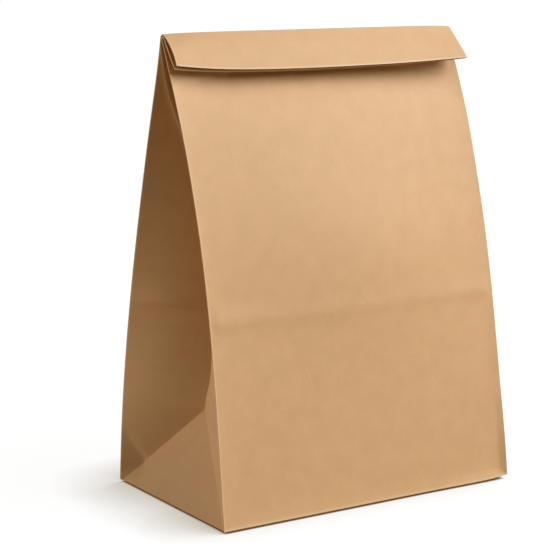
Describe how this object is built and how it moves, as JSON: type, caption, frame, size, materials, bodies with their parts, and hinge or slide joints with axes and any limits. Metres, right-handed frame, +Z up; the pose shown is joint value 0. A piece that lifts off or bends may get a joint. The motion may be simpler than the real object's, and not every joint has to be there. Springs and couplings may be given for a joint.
{
  "type": "paper lunch bag",
  "caption": "Brown kraft paper lunch bag with a block bottom and side gussets, standing on its base, its mouth pressed flat and folded forward over the front panel.",
  "frame": {"origin": "middle of the base, on the surface that the bag stands on", "axes": "+Z up, -Y towards the front, where the mouth is folded over, +X to the right as seen from the front"},
  "size_m": [0.15, 0.0919, 0.2034],
  "materials": {
    "kraft_paper": "matte"
  },
  "bodies": {
    "root": {"paper_bag": "kraft_paper"}
  },
  "joints": []
}
